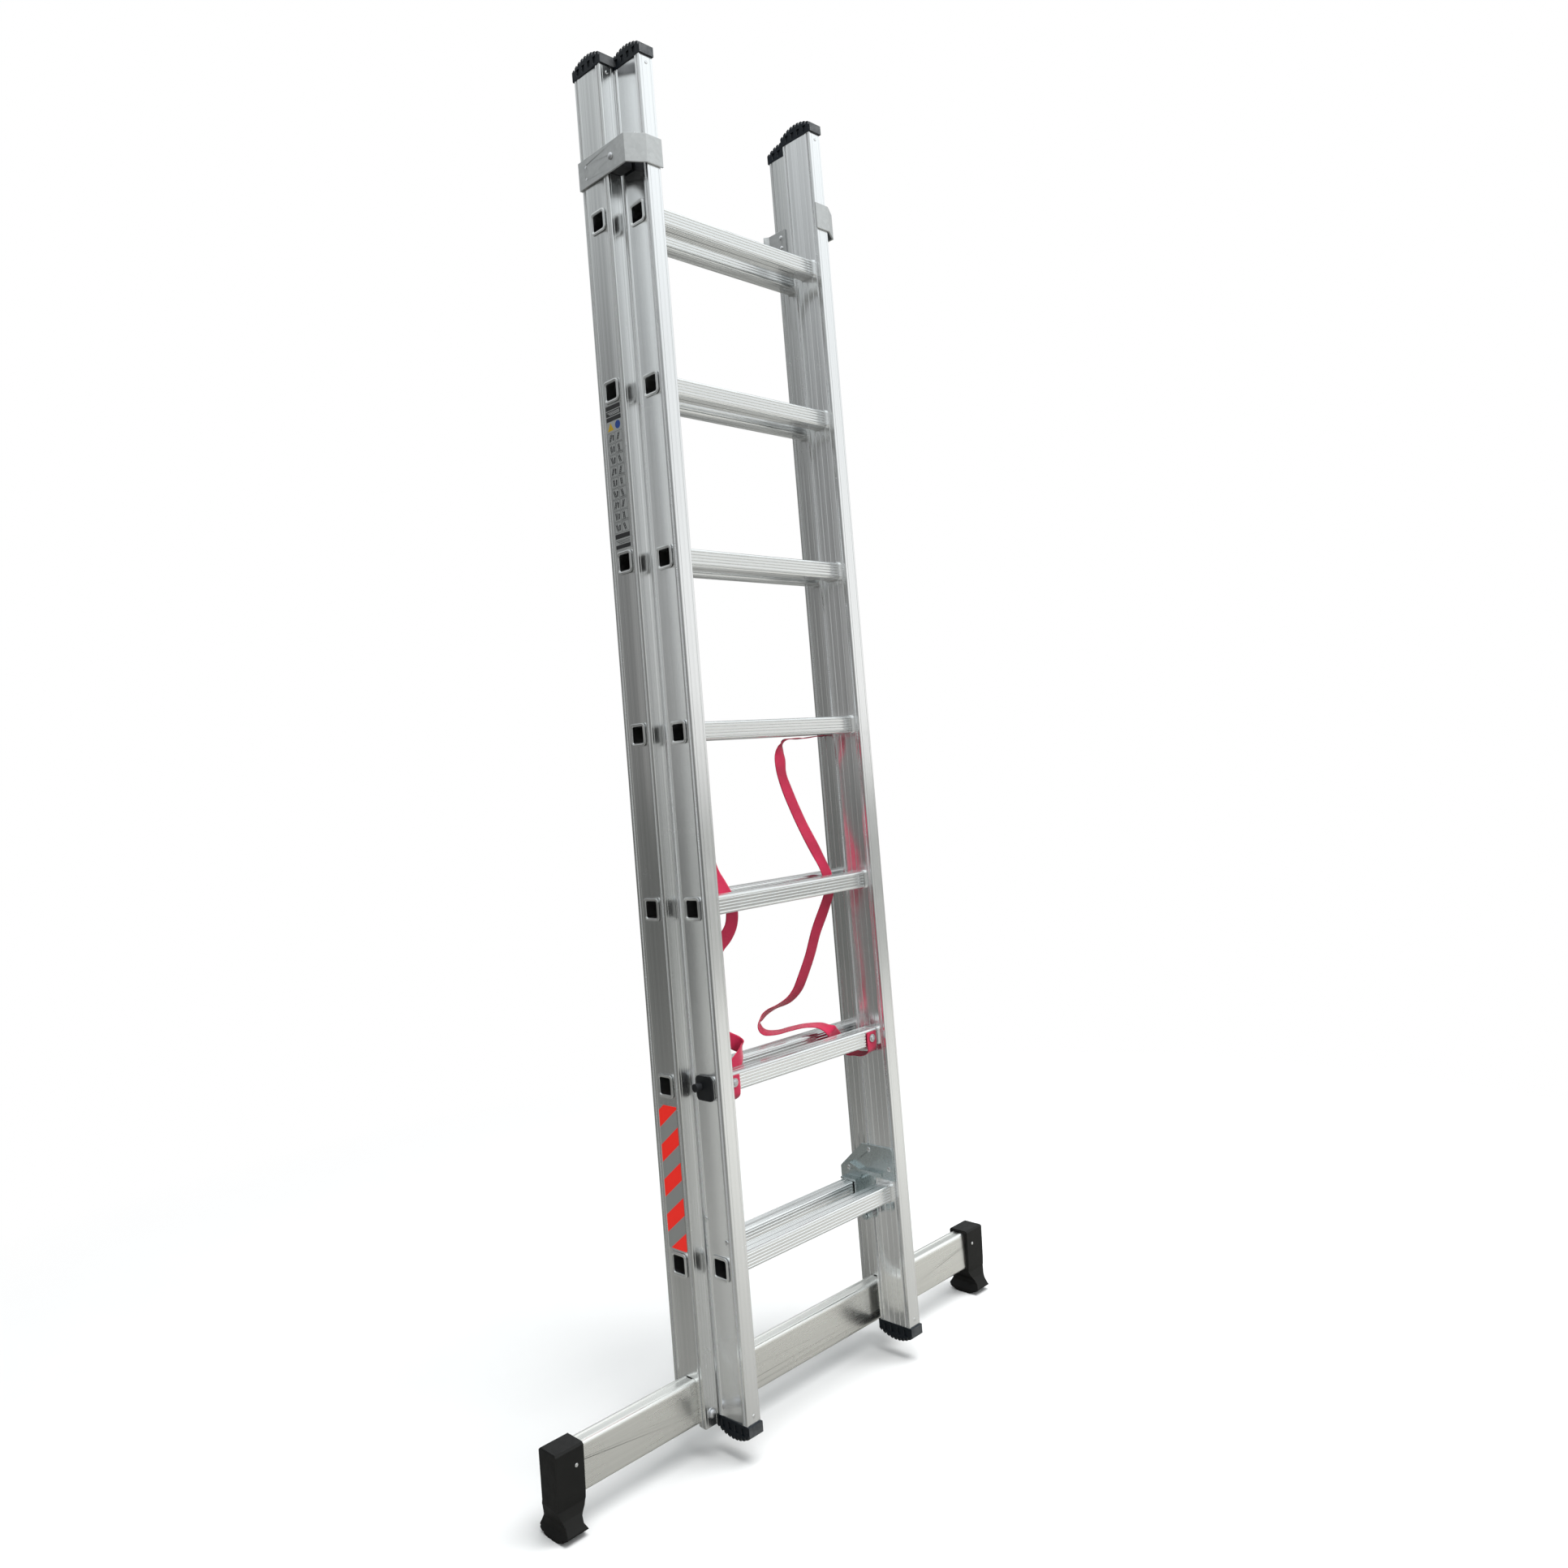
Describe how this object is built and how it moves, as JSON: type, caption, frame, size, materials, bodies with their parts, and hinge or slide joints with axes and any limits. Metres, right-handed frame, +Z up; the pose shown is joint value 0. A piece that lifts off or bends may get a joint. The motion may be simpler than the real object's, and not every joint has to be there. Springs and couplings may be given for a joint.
{
  "type": "extension ladder",
  "caption": "Aluminium push-up extension ladder: a narrow fly section hooks over and slides up in front of a base section on a wide stabiliser bar with rubber feet.",
  "frame": {"origin": "centre of the ladder's bounding box at floor level, under the soles of the stabiliser feet", "axes": "+Z up along the stiles, +X along the rungs to the climber's right, +Y to the back (wall) side, so the climber stands on the -Y side"},
  "size_m": [1.012, 0.163, 2.2528],
  "materials": {
    "stile_aluminium": "mill finish extrusion, fine lengthwise lines",
    "rung_aluminium": "mill finish extrusion, serrated treads",
    "bar_aluminium": "mill finish, light handling marks",
    "rivet_steel": "plain steel, slightly dull",
    "cap_plastic": "moulded black, dusty on its end faces",
    "foot_rubber": "moulded black rubber, satin",
    "bracket_steel": "galvanised sheet, dull grey",
    "block_plastic": "moulded black",
    "hook_zinc": "bright zinc plate, bluish",
    "spring_steel": "spring wire",
    "screw_zinc": "zinc plated",
    "reflective_film": "red and grey diagonal stripes",
    "label_film": null,
    "webbing": "crimson woven webbing"
  },
  "bodies": {
    "base_section": {"rear_stile_left": "stile_aluminium", "rear_stile_right": "stile_aluminium", "rear_rung_1": "rung_aluminium", "rear_rung_2": "rung_aluminium", "rear_rung_3": "rung_aluminium", "rear_rung_4": "rung_aluminium", "rear_rung_5": "rung_aluminium", "rear_rung_6": "rung_aluminium", "rear_rung_7": "rung_aluminium", "rear_top_cap_left": "cap_plastic", "rear_top_cap_right": "cap_plastic", "rear_cap_rivets": "rivet_steel", "stabiliser_bar": "bar_aluminium", "stabiliser_foot_left": "foot_rubber", "stabiliser_foot_right": "foot_rubber", "bar_bolts": "screw_zinc", "foot_rivets": "rivet_steel", "guide_bracket_left": "bracket_steel", "guide_bracket_right": "bracket_steel", "guide_block_left": "block_plastic", "guide_block_right": "block_plastic", "guide_plate_left": "bracket_steel", "guide_plate_right": "bracket_steel", "guide_screws": "screw_zinc", "guide_rivets": "rivet_steel", "reflective_sticker_left": "reflective_film", "reflective_sticker_right": "reflective_film", "instruction_label": "label_film", "rear_strap_screws": "screw_zinc"},
    "fly_section": {"fly_stile_left": "stile_aluminium", "fly_stile_right": "stile_aluminium", "fly_rung_1": "rung_aluminium", "fly_rung_2": "rung_aluminium", "fly_rung_3": "rung_aluminium", "fly_rung_4": "rung_aluminium", "fly_rung_5": "rung_aluminium", "fly_rung_6": "rung_aluminium", "fly_rung_7": "rung_aluminium", "fly_top_cap_left": "cap_plastic", "fly_top_cap_right": "cap_plastic", "fly_foot_cap_left": "cap_plastic", "fly_foot_cap_right": "cap_plastic", "fly_cap_rivets": "rivet_steel", "hook_plate_left": "hook_zinc", "hook_plate_right": "hook_zinc", "hook_saddle_left": "hook_zinc", "hook_saddle_right": "hook_zinc", "hook_rivets": "rivet_steel", "latch_pins": "hook_zinc", "latch_springs": "spring_steel", "stop_plug_left": "block_plastic", "stop_plug_right": "block_plastic", "fly_strap_screws": "screw_zinc", "strap_left": "webbing", "strap_right": "webbing"},
    "latch_left": {"latch_left": "hook_zinc"},
    "latch_right": {"latch_right": "hook_zinc"}
  },
  "joints": [
    {"name": "fly_slide", "type": "slide", "parent": "base_section", "child": "fly_section", "axis": [0, 0, 1], "range_m": [0, 1.12], "deforming": ["strap_left", "strap_right"]},
    {"name": "latch_left_swing", "type": "hinge", "parent": "fly_section", "child": "latch_left", "pos_m": [-0.16, -0.02, 0.255], "axis": [-1, 0, 0], "range_deg": [0, 70], "stiffness_Nm_per_rad": 0.08, "springref_deg": -28.65},
    {"name": "latch_right_swing", "type": "hinge", "parent": "fly_section", "child": "latch_right", "pos_m": [0.16, -0.02, 0.255], "axis": [-1, 0, 0], "range_deg": [0, 70], "stiffness_Nm_per_rad": 0.08, "springref_deg": -28.65}
  ]
}
